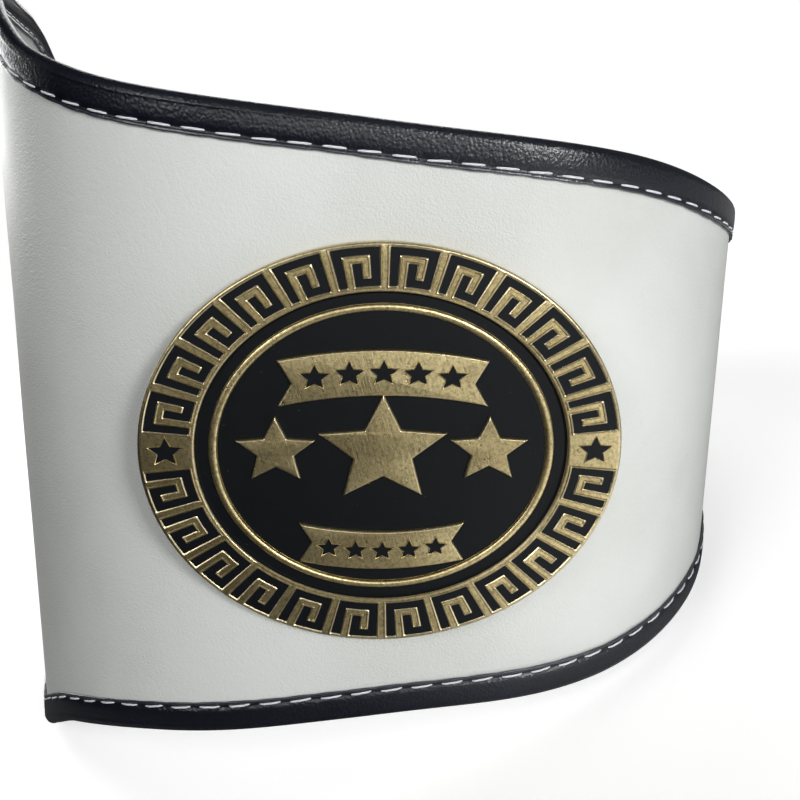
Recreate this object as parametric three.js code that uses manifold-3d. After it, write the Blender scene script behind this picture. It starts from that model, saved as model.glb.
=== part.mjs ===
// Championship title belt: a leather strap with a folded edge binding and an oval cast plate,
// fastened as a waist loop and standing on its lower edge as it would by itself.
// Millimetres, +Z up. The plate faces -Y.
import * as THREE from "three";
import { mergeVertices } from "three/addons/utils/BufferGeometryUtils.js";
import Module from "manifold-3d";

const wasm = await Module();
wasm.setup();

// Waist loop, seen from above and measured on the strap's outer face
const waistLength = 984;
const plateFlat = 29;
const bendRadius = 81.6;
const bendReach = 132;
const bendEase = 31;
const flankEase = 44;

// Strap
const leatherWall = 2.4;
const middleHeight = 238;
const overlapLength = 90;
const endCornerRadius = 26;
const plateFromMiddle = 182;
const lapEase = 60;

// Half the strap's outline, from its middle to an end
// along: share of the strap's half length, tall: share of the middle's height
const outlineRows = [
  { along: 0.0, tall: 1.0 },
  { along: 0.058, tall: 0.99 },
  { along: 0.093, tall: 0.955 },
  { along: 0.127, tall: 0.872 },
  { along: 0.16, tall: 0.794 },
  { along: 0.227, tall: 0.713 },
  { along: 0.339, tall: 0.652 },
  { along: 0.451, tall: 0.596 },
  { along: 0.562, tall: 0.487 },
  { along: 0.652, tall: 0.419 },
  { along: 0.741, tall: 0.392 },
  { along: 1.0, tall: 0.384 },
];

// Binding
const bindingWidth = 9.1;
const bindingWall = 0.75;
const seamGap = 0.25;

// Oval plate
const plateWidth = 120;
const plateHeight = 102.8;
const plateDrop = 1.6;
const plateGap = 0.3;
const baseThickness = 2.4;
const bandRise = 1.2;
const ridgeRise = 1.0;
const ridgeShoulder = 0.8;
const figureRise = 1.1;
const keyRise = 0.35;
const rimChamfer = 0.8;

// Shares of the plate's half width
const bandInside = 0.775;
const grooveOutside = 0.762;
const ridgeOutside = 0.715;
const ridgeInside = 0.68;

// Key pattern on the band
const keysInArc = 12;
const keyHeight = 10.8;
const keySpread = 78;
const markRadius = 4.2;

// Figures on the field
const bigStarRadius = 17;
const smallStarRadius = 10.5;
const smallStarAside = 26.5;
const starWaist = 0.46;
const upperRibbon = { width: 52, height: 13.5, up: 21.5, arch: 1.6, notch: 3.4 };
const lowerRibbon = { width: 42, height: 12, up: -29.5, arch: -1.4, notch: 3.2 };
const ribbonStars = 5;
const ribbonStarRadius = 3.6;
const ribbonStarPitch = 8.4;
const ribbonStarRise = 0.5;

// Rivets behind the plate and press studs through the overlap
const rivetRadius = 2;
const rivetHeadRadius = 5.5;
const rivetHeadThickness = 1.4;
const rivetDepth = 1.3;
const rivetAside = 26;
const rivetUp = 30;
const studCapRadius = 6.2;
const studCapThickness = 2.2;
const studPostRadius = 2.2;
const studPitch = 46;
const studHeight = 44;
const runningGap = 0.3;

// Their sections, turned about an axis
// radius: share of the head's or cap's radius, height: share of its thickness
const rivetHeadRows = [
  { radius: 0, height: 1 },
  { radius: 0.8, height: 1 },
  { radius: 1, height: 0.4 },
  { radius: 1, height: 0 },
];
const studCapRows = [
  { radius: 1, height: 0 },
  { radius: 0.93, height: 0.55 },
  { radius: 0.6, height: 0.92 },
  { radius: 0, height: 1 },
];
const studBaseRows = [
  { radius: 0, height: 0.6 },
  { radius: 0.75, height: 0.6 },
  { radius: 0.9, height: 0 },
];

// How finely the curves are divided
const stationStep = 9.9;
const cornerSteps = 6;
const foldSteps = 4;
const ribbonSteps = 6;
const plateSides = 64;
const fastenerSides = 16;
const drillSides = 12;
const planSteps = 400;
const quarterTurn = Math.PI / 2;
const fullTurn = Math.PI * 2;

const strapHalfLength = (waistLength + overlapLength) / 2;
const quarterLoop = waistLength / 4;
const bindingOut = seamGap + bindingWall;
const lapStep = leatherWall + 2 * bindingOut + runningGap;

function smoothStep(value) {
  const t = Math.min(Math.max(value, 0), 1);
  return t * t * (3 - 2 * t);
}

// From 0 to 1 over a spread about a middle
function easedIn(value, middle, spread) {
  return smoothStep((value - middle + spread / 2) / spread);
}

// Plan of the loop: a nearly flat stretch behind the plate, a tight bend, then a bowed flank
const flankShare = 1 - (quarterLoop - plateFlat - quarterTurn * bendRadius) / (quarterLoop - bendReach);

function curvatureAt(reach) {
  const comesIn = easedIn(reach, plateFlat, bendEase);
  const easesOff = easedIn(reach, bendReach, flankEase);
  return (comesIn - (1 - flankShare) * easesOff) / bendRadius;
}

function quarterPlan(steps) {
  const rows = [{ x: 0, y: 0, turn: 0 }];
  const step = quarterLoop / steps;
  for (let i = 0; i < steps; i += 1) {
    const last = rows[i];
    const turn = last.turn + curvatureAt(i * step + step / 2) * step;
    const middle = (last.turn + turn) / 2;
    rows.push({ x: last.x + Math.cos(middle) * step, y: last.y + Math.sin(middle) * step, turn });
  }
  return rows;
}

const planRows = quarterPlan(planSteps);
const loopDepth = 2 * planRows[planSteps].y;

// Place and heading at a reach along the loop from behind the plate's middle, + towards +X
function planAt(reach) {
  const wrapped = reach - waistLength * Math.round(reach / waistLength);
  const side = Math.sign(wrapped) || 1;
  const away = Math.abs(wrapped);
  const farHalf = away > quarterLoop;
  const local = (farHalf ? waistLength / 2 - away : away) / quarterLoop * planSteps;
  const index = Math.min(Math.floor(local), planSteps - 1);
  const part = local - index;
  const a = planRows[index];
  const b = planRows[index + 1];
  const x = a.x + (b.x - a.x) * part;
  const y = a.y + (b.y - a.y) * part;
  const turn = a.turn + (b.turn - a.turn) * part;
  return {
    x: side * x,
    y: farHalf ? loopDepth - y : y,
    turn: side * (farHalf ? Math.PI - turn : turn),
  };
}

// The end that lies inside the overlap steps inwards by a bound edge's thickness
function lapShift(along) {
  const start = strapHalfLength - overlapLength - lapEase;
  return -lapStep * smoothStep((-along - start) / lapEase);
}

// Point of the strap: along from its middle, up from its centre line, out from its outer face
function strapPoint(along, up, out) {
  const plan = planAt(along - plateFromMiddle);
  const lift = out + lapShift(along);
  return new THREE.Vector3(plan.x + Math.sin(plan.turn) * lift, plan.y - Math.cos(plan.turn) * lift, up);
}

// Monotone cubic through the outline rows
function rowSlope(index) {
  if (index === 0 || index === outlineRows.length - 1) return 0;
  const before = outlineRows[index - 1];
  const here = outlineRows[index];
  const after = outlineRows[index + 1];
  const down = (here.tall - before.tall) / (here.along - before.along);
  const up = (after.tall - here.tall) / (after.along - here.along);
  return down * up > 0 ? (2 * down * up) / (down + up) : 0;
}

function halfHeightAt(along) {
  const share = Math.min(Math.abs(along) / strapHalfLength, 1);
  let index = 0;
  while (index < outlineRows.length - 2 && share > outlineRows[index + 1].along) index += 1;
  const a = outlineRows[index];
  const b = outlineRows[index + 1];
  const span = b.along - a.along;
  const t = (share - a.along) / span;
  const tall = a.tall * (1 + 2 * t) * (1 - t) ** 2 + b.tall * t * t * (3 - 2 * t)
    + rowSlope(index) * span * t * (1 - t) ** 2 + rowSlope(index + 1) * span * t * t * (t - 1);
  const half = tall * middleHeight / 2;
  const fromEnd = strapHalfLength - Math.abs(along);
  if (fromEnd >= endCornerRadius) return half;
  const inward = endCornerRadius - Math.max(fromEnd, 0);
  return half - endCornerRadius + Math.sqrt(Math.max(endCornerRadius ** 2 - inward ** 2, 0));
}

// Stations along the strap, closer together round the corners of its ends
function stationsAlong() {
  const straight = strapHalfLength - endCornerRadius;
  const count = 2 * Math.round(straight / stationStep);
  const corner = [];
  for (let i = 1; i <= cornerSteps; i += 1) {
    corner.push(straight + endCornerRadius * Math.sin((i / cornerSteps) * quarterTurn));
  }
  const middle = [];
  for (let i = 0; i <= count; i += 1) middle.push(-straight + (2 * straight * i) / count);
  return [...corner.map((value) => -value).reverse(), ...middle, ...corner];
}

const stations = stationsAlong();

// Closed outline of the flat strap, anticlockwise seen from outside
function outlineLoop() {
  const lower = stations.map((along) => new THREE.Vector2(along, -halfHeightAt(along)));
  const upper = stations.map((along) => new THREE.Vector2(along, halfHeightAt(along)));
  return [...lower, ...upper.reverse()];
}

function inwardNormals(loop) {
  return loop.map((point, i) => {
    const before = loop[(i + loop.length - 1) % loop.length];
    const after = loop[(i + 1) % loop.length];
    const along = after.clone().sub(before).normalize();
    return new THREE.Vector2(-along.y, along.x);
  });
}

const outline = outlineLoop();
const inward = inwardNormals(outline);

function meshGeometry(points, triangles) {
  const geometry = new THREE.BufferGeometry();
  const numbers = points.flatMap((point) => point.toArray());
  geometry.setAttribute("position", new THREE.Float32BufferAttribute(numbers, 3));
  geometry.setIndex(triangles);
  return geometry;
}

// Booleans
const mergeTolerance = 1e-4;

function solidFrom(geometry) {
  const bare = geometry.clone();
  bare.deleteAttribute("normal");
  bare.deleteAttribute("uv");
  const merged = mergeVertices(bare, mergeTolerance);
  return new wasm.Manifold(new wasm.Mesh({
    numProp: 3,
    vertProperties: new Float32Array(merged.attributes.position.array),
    triVerts: new Uint32Array(merged.index.array),
  }));
}

function geometryFrom(solid) {
  const mesh = solid.getMesh();
  const geometry = new THREE.BufferGeometry();
  geometry.setAttribute("position", new THREE.BufferAttribute(new Float32Array(mesh.vertProperties), 3));
  geometry.setIndex(new THREE.BufferAttribute(new Uint32Array(mesh.triVerts), 1));
  geometry.computeVertexNormals();
  return geometry;
}

// Leather wall: one ruled strip between the two edges, seated inside the binding
function strapGeometry() {
  const inset = bindingWall + seamGap;
  const points = [];
  const triangles = [];
  const last = stations.length - 1;
  stations.forEach((_, i) => {
    const { x: along, y: low } = outline[i].clone().addScaledVector(inward[i], inset);
    points.push(strapPoint(along, low, 0), strapPoint(along, -low, 0));
    points.push(strapPoint(along, -low, -leatherWall), strapPoint(along, low, -leatherWall));
  });
  for (let i = 0; i < last; i += 1) {
    for (let j = 0; j < 4; j += 1) {
      const a = 4 * i + j;
      const b = 4 * i + ((j + 1) % 4);
      triangles.push(a, a + 4, b, b, a + 4, b + 4);
    }
  }
  triangles.push(0, 1, 2, 0, 2, 3);
  const end = 4 * last;
  triangles.push(end, end + 2, end + 1, end, end + 3, end + 2);
  return meshGeometry(points, triangles);
}

// Binding: a folded strip's section carried round the whole outline
// in: from the edge towards the strap's centre line, out: from the strap's outer face
function bindingSection() {
  const front = bindingOut;
  const back = -leatherWall - bindingOut;
  const middle = -leatherWall / 2;
  const fold = (front - back) / 2;
  const rows = [{ in: bindingWidth, out: front }];
  for (let i = 0; i <= foldSteps; i += 1) {
    const turn = (i / foldSteps) * Math.PI;
    rows.push({ in: fold * (1 - Math.sin(turn)), out: middle + fold * Math.cos(turn) });
  }
  rows.push({ in: bindingWidth, out: back });
  rows.push({ in: bindingWidth, out: -leatherWall - seamGap });
  rows.push({ in: bindingWall, out: -leatherWall - seamGap });
  rows.push({ in: bindingWall, out: seamGap });
  rows.push({ in: bindingWidth, out: seamGap });
  return rows;
}

function bindingGeometry() {
  const section = bindingSection();
  const points = [];
  const triangles = [];
  outline.forEach((point, i) => {
    section.forEach((row) => {
      const flat = point.clone().addScaledVector(inward[i], row.in);
      points.push(strapPoint(flat.x, flat.y, row.out));
    });
  });
  const across = section.length;
  for (let i = 0; i < outline.length; i += 1) {
    const next = (i + 1) % outline.length;
    for (let j = 0; j < across; j += 1) {
      const k = (j + 1) % across;
      const a = i * across + j;
      const b = i * across + k;
      const c = next * across + j;
      const d = next * across + k;
      triangles.push(a, b, c, b, d, c);
    }
  }
  return meshGeometry(points, triangles);
}

// Turned piece along +Z from a profile of radius and height
function turned(profile, sides) {
  return new THREE.LatheGeometry(profile.map((p) => new THREE.Vector2(p.radius, p.height)), sides)
    .rotateX(quarterTurn);
}

function figure(shapePoints, bottom, top) {
  const shape = new THREE.Shape(shapePoints);
  const options = { depth: top - bottom, bevelEnabled: false };
  return new THREE.ExtrudeGeometry(shape, options).translate(0, 0, bottom);
}

// Five-pointed star standing on two points
const starCorners = 10;

function starPoints(radius, x, y) {
  const points = [];
  for (let i = 0; i < starCorners; i += 1) {
    const reach = i % 2 === 0 ? radius : radius * starWaist;
    const angle = quarterTurn + (i / starCorners) * fullTurn;
    points.push(new THREE.Vector2(x + reach * Math.cos(angle), y + reach * Math.sin(angle)));
  }
  return points;
}

// A ribbon's middle is lifted by its arch and its ends are lowered by as much
function archLift(ribbon, x) {
  const share = x / (ribbon.width / 2);
  return ribbon.arch * (1 - 2 * share * share);
}

// Ribbon with notched ends
function ribbonPoints(ribbon) {
  const half = ribbon.width / 2;
  const lift = (x) => ribbon.up + archLift(ribbon, x);
  const lower = [];
  const upper = [];
  for (let i = 0; i <= ribbonSteps; i += 1) {
    const x = -half + (i / ribbonSteps) * ribbon.width;
    lower.push(new THREE.Vector2(x, lift(x) - ribbon.height / 2));
    upper.push(new THREE.Vector2(x, lift(x) + ribbon.height / 2));
  }
  const right = new THREE.Vector2(half - ribbon.notch, lift(half));
  const left = new THREE.Vector2(-half + ribbon.notch, lift(half));
  return [...lower, right, ...upper.reverse(), left];
}

// One key of the band pattern on a five by five grid, bent round the band
const keyGrid = [
  [0, 0], [0, 5], [5, 5], [5, 0], [2, 0], [2, 3],
  [3, 3], [3, 1], [4, 1], [4, 4], [1, 4], [1, 0],
];
const keyCells = 5;

function keyPoints(angle, outwardUp) {
  const halfWidth = plateWidth / 2;
  const bandMiddle = halfWidth * (1 + bandInside) / 2;
  const cell = keyHeight / keyCells;
  const flip = outwardUp ? 1 : -1;
  return keyGrid.map(([column, row]) => {
    const radius = bandMiddle + flip * (row - keyCells / 2) * cell;
    const turn = angle - flip * ((column - keyCells / 2) * cell) / bandMiddle;
    return new THREE.Vector2(radius * Math.cos(turn), radius * Math.sin(turn));
  });
}

// Cast plate, drawn round and then pressed to its oval height
function medallionGeometry() {
  const halfWidth = plateWidth / 2;
  const bandTop = baseThickness + bandRise;
  const ridgeTop = baseThickness + ridgeRise;
  const ridgeMiddle = (ridgeOutside + ridgeInside) / 2;
  const shoulderTop = baseThickness + ridgeRise * ridgeShoulder;
  let solid = solidFrom(turned([
    { radius: 0, height: 0 },
    { radius: halfWidth, height: 0 },
    { radius: halfWidth, height: bandTop - rimChamfer },
    { radius: halfWidth - rimChamfer, height: bandTop },
    { radius: halfWidth * bandInside, height: bandTop },
    { radius: halfWidth * grooveOutside, height: baseThickness },
    { radius: halfWidth * ridgeOutside, height: baseThickness },
    { radius: halfWidth * (ridgeOutside + ridgeMiddle) / 2, height: shoulderTop },
    { radius: halfWidth * ridgeMiddle, height: ridgeTop },
    { radius: halfWidth * (ridgeInside + ridgeMiddle) / 2, height: shoulderTop },
    { radius: halfWidth * ridgeInside, height: baseThickness },
    { radius: 0, height: baseThickness },
  ], plateSides));
  const sunk = baseThickness / 2;
  const fieldTop = baseThickness + figureRise;
  const add = (points, top) => {
    solid = solid.add(solidFrom(figure(points, sunk, top)));
  };
  add(starPoints(bigStarRadius, 0, 0), fieldTop);
  [-1, 1].forEach((side) => add(starPoints(smallStarRadius, side * smallStarAside, 0), fieldTop));
  [upperRibbon, lowerRibbon].forEach((ribbon) => {
    add(ribbonPoints(ribbon), fieldTop);
    for (let i = 0; i < ribbonStars; i += 1) {
      const x = (i - (ribbonStars - 1) / 2) * ribbonStarPitch * ribbon.width / upperRibbon.width;
      add(starPoints(ribbonStarRadius, x, ribbon.up + archLift(ribbon, x)), fieldTop + ribbonStarRise);
    }
  });
  const keyTop = bandTop + keyRise;
  const bandMiddle = halfWidth * (1 + bandInside) / 2;
  const spread = THREE.MathUtils.degToRad(keySpread);
  for (let i = 0; i < keysInArc; i += 1) {
    const aside = spread * (1 - (2 * i) / (keysInArc - 1));
    add(keyPoints(quarterTurn + aside, true), keyTop);
    add(keyPoints(-quarterTurn + aside, false), keyTop);
  }
  [-1, 1].forEach((side) => add(starPoints(markRadius, side * bandMiddle, 0), keyTop));
  const oval = solid.scale([1, plateHeight / plateWidth, 1]);
  const boreRadius = rivetRadius + runningGap;
  const bore = new THREE.CylinderGeometry(boreRadius, boreRadius, 2 * rivetDepth, fastenerSides);
  bore.rotateX(quarterTurn);
  let drilled = oval;
  rivetPlaces().forEach((place) => {
    drilled = drilled.subtract(solidFrom(bore.clone().translate(place.x, place.y, 0)));
  });
  return geometryFrom(drilled).rotateX(quarterTurn);
}

function rivetPlaces() {
  return [[-1, 1], [1, 1], [-1, -1], [1, -1]].map(([side, level]) => (
    new THREE.Vector2(side * rivetAside, level * rivetUp)
  ));
}

// Section rows at a piece's own radius, start and thickness
function sized(rows, radius, start, thickness) {
  return rows.map((row) => ({ radius: row.radius * radius, height: start + row.height * thickness }));
}

// Rivet along +Z, its shank's tip at the top, under a flat head inside the strap
function rivetGeometry(headTop) {
  const tip = plateGap + rivetDepth - runningGap;
  return turned([
    ...sized(rivetHeadRows, rivetHeadRadius, headTop, -rivetHeadThickness),
    { radius: rivetRadius, height: headTop },
    { radius: rivetRadius, height: tip },
    { radius: 0, height: tip },
  ], fastenerSides);
}

// Press stud along +Z: a domed cap outside, a post through both layers and a flat base inside
function studGeometry() {
  const outer = runningGap;
  const inner = -lapStep - leatherWall - runningGap;
  return turned([
    ...sized(studBaseRows, studCapRadius, inner, -studCapThickness),
    { radius: studPostRadius, height: inner },
    { radius: studPostRadius, height: outer },
    ...sized(studCapRows, studCapRadius, outer, studCapThickness),
  ], fastenerSides);
}

// Frame on the strap's outer face: +Z outwards, +Y up
function faceFrame(along, up) {
  const plan = planAt(along - plateFromMiddle);
  const outward = new THREE.Vector3(Math.sin(plan.turn), -Math.cos(plan.turn), 0);
  const upward = new THREE.Vector3(0, 0, 1);
  const aside = new THREE.Vector3().crossVectors(upward, outward);
  const frame = new THREE.Matrix4().makeBasis(aside, upward, outward);
  return frame.setPosition(new THREE.Vector3(plan.x, plan.y, up));
}

function studPlaces() {
  const lapMiddle = strapHalfLength - overlapLength / 2;
  return [[-1, 1], [1, 1], [-1, -1], [1, -1]].map(([side, level]) => (
    faceFrame(lapMiddle + side * studPitch / 2, level * studHeight / 2)
  ));
}

// Holes for the rivets and studs
function drillGeometry(radius) {
  const length = 4 * lapStep;
  return new THREE.CylinderGeometry(radius + runningGap, radius + runningGap, length, drillSides);
}

function drilledStrap() {
  let solid = solidFrom(strapGeometry());
  rivetPlaces().forEach((place) => {
    const drill = drillGeometry(rivetRadius).translate(place.x, 0, place.y - plateDrop);
    solid = solid.subtract(solidFrom(drill));
  });
  studPlaces().forEach((frame) => {
    const drill = drillGeometry(studPostRadius).rotateX(quarterTurn).applyMatrix4(frame);
    solid = solid.subtract(solidFrom(drill));
  });
  return geometryFrom(solid);
}

// Where the loop comes to rest: the plane under its lower edge that lies beneath its middle
function weightMiddle() {
  const sum = new THREE.Vector3();
  let weight = 0;
  stations.forEach((along) => {
    const part = halfHeightAt(along);
    sum.addScaledVector(strapPoint(along, 0, 0), part);
    weight += part;
  });
  return sum.divideScalar(weight);
}

const steepestRest = 0.5;
const touchTolerance = 1e-3;

function restingPlane() {
  const edge = stations.map((along) => strapPoint(along, -halfHeightAt(along), 0));
  const middle = weightMiddle();
  let best = null;
  const plane = new THREE.Plane();
  for (let i = 0; i < edge.length; i += 1) {
    for (let j = i + 1; j < edge.length; j += 1) {
      for (let k = j + 1; k < edge.length; k += 1) {
        plane.setFromCoplanarPoints(edge[i], edge[j], edge[k]);
        if (Math.abs(plane.normal.z) < steepestRest) continue;
        if (plane.normal.z < 0) plane.negate();
        const { x, y, z } = plane.normal;
        const above = -(plane.constant + x * middle.x + y * middle.y) / z;
        if (best && above <= best.above) continue;
        if (edge.every((point) => plane.distanceToPoint(point) > -touchTolerance)) {
          best = { above, normal: plane.normal.clone() };
        }
      }
    }
  }
  return best.normal;
}

// Materials
const leather = new THREE.MeshStandardMaterial({ color: 0xd6d7d4, roughness: 0.6, metalness: 0 });
const blackLeather = new THREE.MeshStandardMaterial({ color: 0x1b1d27, roughness: 0.45, metalness: 0 });
const bronze = new THREE.MeshStandardMaterial({ color: 0x9a875a, roughness: 0.35, metalness: 1 });
const nickel = new THREE.MeshStandardMaterial({ color: 0xb9bbbd, roughness: 0.3, metalness: 1 });

// Assembly
const belt = new THREE.Group();

function addPiece(name, geometry, material, place) {
  const mesh = new THREE.Mesh(geometry, material);
  mesh.name = name;
  if (place) mesh.applyMatrix4(place);
  belt.add(mesh);
}

addPiece("leather_strap", drilledStrap(), leather);
addPiece("binding", bindingGeometry(), blackLeather);

const plateMiddle = new THREE.Matrix4().makeTranslation(0, -plateGap, -plateDrop);
addPiece("medallion", medallionGeometry(), bronze, plateMiddle);

rivetPlaces().forEach((place, i) => {
  const behind = planAt(Math.abs(place.x) + rivetHeadRadius);
  const headTop = -behind.y - leatherWall - runningGap;
  const frame = new THREE.Matrix4().makeRotationX(quarterTurn);
  frame.setPosition(place.x, 0, place.y - plateDrop);
  addPiece(`medallion_rivet_${i + 1}`, rivetGeometry(headTop), nickel, frame);
});

studPlaces().forEach((frame, i) => {
  addPiece(`press_stud_${i + 1}`, studGeometry(), nickel, frame);
});

belt.quaternion.setFromUnitVectors(restingPlane(), new THREE.Vector3(0, 0, 1));
belt.updateMatrixWorld(true);
const box = new THREE.Box3().setFromObject(belt, true);
belt.position.set(-(box.min.x + box.max.x) / 2, -(box.min.y + box.max.y) / 2, -box.min.z);

const group = new THREE.Group();
group.add(belt);

export default group;
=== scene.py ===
import math

import bpy
import numpy as np
from mathutils import Matrix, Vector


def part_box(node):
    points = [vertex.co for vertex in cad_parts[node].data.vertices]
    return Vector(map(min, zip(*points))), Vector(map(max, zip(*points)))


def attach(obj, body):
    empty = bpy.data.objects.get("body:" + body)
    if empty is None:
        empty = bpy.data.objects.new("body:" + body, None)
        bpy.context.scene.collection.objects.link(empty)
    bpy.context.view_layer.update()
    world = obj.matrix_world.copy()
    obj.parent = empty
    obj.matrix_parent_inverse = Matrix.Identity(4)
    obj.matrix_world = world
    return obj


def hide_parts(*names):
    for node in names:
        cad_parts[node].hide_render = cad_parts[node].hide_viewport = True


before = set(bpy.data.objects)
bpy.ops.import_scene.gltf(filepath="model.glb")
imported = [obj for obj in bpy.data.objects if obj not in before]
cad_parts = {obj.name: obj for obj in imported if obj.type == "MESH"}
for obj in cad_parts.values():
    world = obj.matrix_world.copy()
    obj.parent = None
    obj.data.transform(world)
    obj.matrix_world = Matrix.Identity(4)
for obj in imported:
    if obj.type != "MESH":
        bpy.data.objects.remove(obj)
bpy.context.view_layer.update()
print("frame loaded")

# The strap's plan and outline, as the model has them
strap = {
    "waistLength": 984.0,
    "plateFlat": 29.0,
    "bendRadius": 81.6,
    "bendReach": 132.0,
    "bendEase": 31.0,
    "flankEase": 44.0,
    "wall": 2.4,
    "middleHeight": 238.0,
    "overlap": 90.0,
    "endCorner": 26.0,
    "plateFromMiddle": 182.0,
    "lapEase": 60.0,
    "outlineAlong": (0.0, 0.058, 0.093, 0.127, 0.16, 0.227, 0.339, 0.451, 0.562, 0.652, 0.741, 1.0),
    "outlineTall": (1.0, 0.99, 0.955, 0.872, 0.794, 0.713, 0.652, 0.596, 0.487, 0.419, 0.392, 0.384),
    "planSteps": 400,
    "edgeSteps": 2000,
    "cornerSteps": 60,
    "lapGap": 0.3,          # between the two layers of the overlap
    "plateGap": 0.3,        # between the strap's face and the plate's back
    "plateDrop": 1.6,       # the plate's middle lies this far under the strap's
}
strap["halfLength"] = (strap["waistLength"] + strap["overlap"]) / 2
strap["quarter"] = strap["waistLength"] / 4

binding = {
    "width": 9.1,
    "wall": 0.75,
    "seamGap": 0.25,
    "stitchPitch": 8.17,
    "stitchFromLip": 1.25,
    "samplesPerStitch": 6,
    "crown": 0.18,          # how far the face swells between its fold and its stitches
    "grooveDepth": 0.34,
    "grooveWidth": 0.75,
    "holeDepth": 0.22,
    "lipLift": 0.12,
    "lipWave": 0.26,
    "crease": 0.13,         # a pressed line along the tall middle of the strap
    "creaseIn": 2.3,
    "creaseWidth": 0.3,
    "creaseReach": 190.0,
    "creaseEase": 60,
    "rowsFromLip": (0.3, 0.6, 0.9, 1.2, 1.6, 2.1, 2.9, 3.9, 4.9, 5.6, 5.9, 6.15, 6.4),
}
binding["out"] = binding["seamGap"] + binding["wall"]
strap["lapStep"] = strap["wall"] + 2 * binding["out"] + strap["lapGap"]


def smoothStep(value):
    # 0 below 0, 1 above 1, and 3t² - 2t³ between
    t = np.clip(value, 0.0, 1.0)
    return t * t * (3 - 2 * t)


def quarterPlan():
    # Heading is the running sum of curvature, place the running sum of the heading's cosine and sine
    step = strap["quarter"] / strap["planSteps"]
    reach = (np.arange(strap["planSteps"]) + 0.5) * step
    arcs = strap["quarter"] - strap["plateFlat"] - math.pi / 2 * strap["bendRadius"]
    flankShare = 1 - arcs / (strap["quarter"] - strap["bendReach"])
    comesIn = smoothStep((reach - strap["plateFlat"]) / strap["bendEase"] + 0.5)
    easesOff = smoothStep((reach - strap["bendReach"]) / strap["flankEase"] + 0.5)
    bend = (comesIn - (1 - flankShare) * easesOff) / strap["bendRadius"]
    turn = np.concatenate([[0.0], np.cumsum(bend) * step])
    middle = (turn[1:] + turn[:-1]) / 2
    x = np.concatenate([[0.0], np.cumsum(np.cos(middle)) * step])
    y = np.concatenate([[0.0], np.cumsum(np.sin(middle)) * step])
    return x, y, turn


planX, planY, planTurn = quarterPlan()
planReach = np.linspace(0, strap["quarter"], strap["planSteps"] + 1)
loopDepth = 2 * planY[-1]


def planAt(reach):
    # A quarter of the loop, mirrored left to right and front to back
    wrapped = reach - strap["waistLength"] * np.round(reach / strap["waistLength"])
    side = np.where(wrapped < 0, -1.0, 1.0)
    away = np.abs(wrapped)
    farHalf = away > strap["quarter"]
    local = np.where(farHalf, strap["waistLength"] / 2 - away, away)
    x = np.interp(local, planReach, planX)
    y = np.interp(local, planReach, planY)
    turn = np.interp(local, planReach, planTurn)
    return side * x, np.where(farHalf, loopDepth - y, y), side * np.where(farHalf, math.pi - turn, turn)


def strapPoints(along, up, out):
    # Plan place at the reach along, moved along its outward normal by out, with up as the height
    x, y, turn = planAt(along - strap["plateFromMiddle"])
    start = strap["halfLength"] - strap["overlap"] - strap["lapEase"]
    lift = out - strap["lapStep"] * smoothStep((-along - start) / strap["lapEase"])
    return np.stack([x + np.sin(turn) * lift, y - np.cos(turn) * lift, up + 0 * x], axis=-1)


def halfHeightAt(along):
    # Monotone cubic through the outline rows, with a quarter circle at each end's corner
    share = np.array(strap["outlineAlong"])
    tall = np.array(strap["outlineTall"])
    rise = np.diff(tall) / np.diff(share)
    slope = np.zeros(len(tall))
    product = rise[:-1] * rise[1:]
    total = rise[:-1] + rise[1:]
    slope[1:-1] = np.where(product > 0, 2 * product / np.where(total == 0, 1, total), 0)
    where = np.minimum(np.abs(along) / strap["halfLength"], 1)
    i = np.clip(np.searchsorted(share, where) - 1, 0, len(tall) - 2)
    span = share[i + 1] - share[i]
    t = (where - share[i]) / span
    height = (tall[i] * (1 + 2 * t) * (1 - t) ** 2 + tall[i + 1] * t * t * (3 - 2 * t)
              + slope[i] * span * t * (1 - t) ** 2 + slope[i + 1] * span * t * t * (t - 1))
    half = height * strap["middleHeight"] / 2
    corner = strap["endCorner"]
    inward = np.clip(corner - (strap["halfLength"] - np.abs(along)), 0, corner)
    return half - corner + np.sqrt(corner ** 2 - inward ** 2)


def outlineCurve():
    # The lower edge from left to right, up the right end, back along the upper edge and down the
    # left end, with the length covered so far at each point
    straight = strap["halfLength"] - strap["endCorner"]
    turnSteps = np.sin(np.linspace(0, math.pi / 2, strap["cornerSteps"])[1:]) * strap["endCorner"]
    middle = np.linspace(-straight, straight, strap["edgeSteps"])
    along = np.concatenate([-(straight + turnSteps[::-1]), middle, straight + turnSteps])
    half = halfHeightAt(along)
    lower = np.stack([along, -half], axis=1)
    loop = np.concatenate([lower, lower[::-1] * (1, -1), lower[:1]])
    length = np.concatenate([[0], np.cumsum(np.linalg.norm(np.diff(loop, axis=0), axis=1))])
    return loop, length


def outlineLoop(count):
    # The outline measured out by its length into equal steps
    loop, length = outlineCurve()
    wanted = np.arange(count) / count * length[-1]
    return np.stack([np.interp(wanted, length, loop[:, 0]), np.interp(wanted, length, loop[:, 1])], axis=1)


def inwardNormals(loop):
    # The step from the last point to the next one, turned a quarter to the left
    step = np.roll(loop, -1, axis=0) - np.roll(loop, 1, axis=0)
    step /= np.linalg.norm(step, axis=1, keepdims=True)
    return np.stack([-step[:, 1], step[:, 0]], axis=1)


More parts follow.
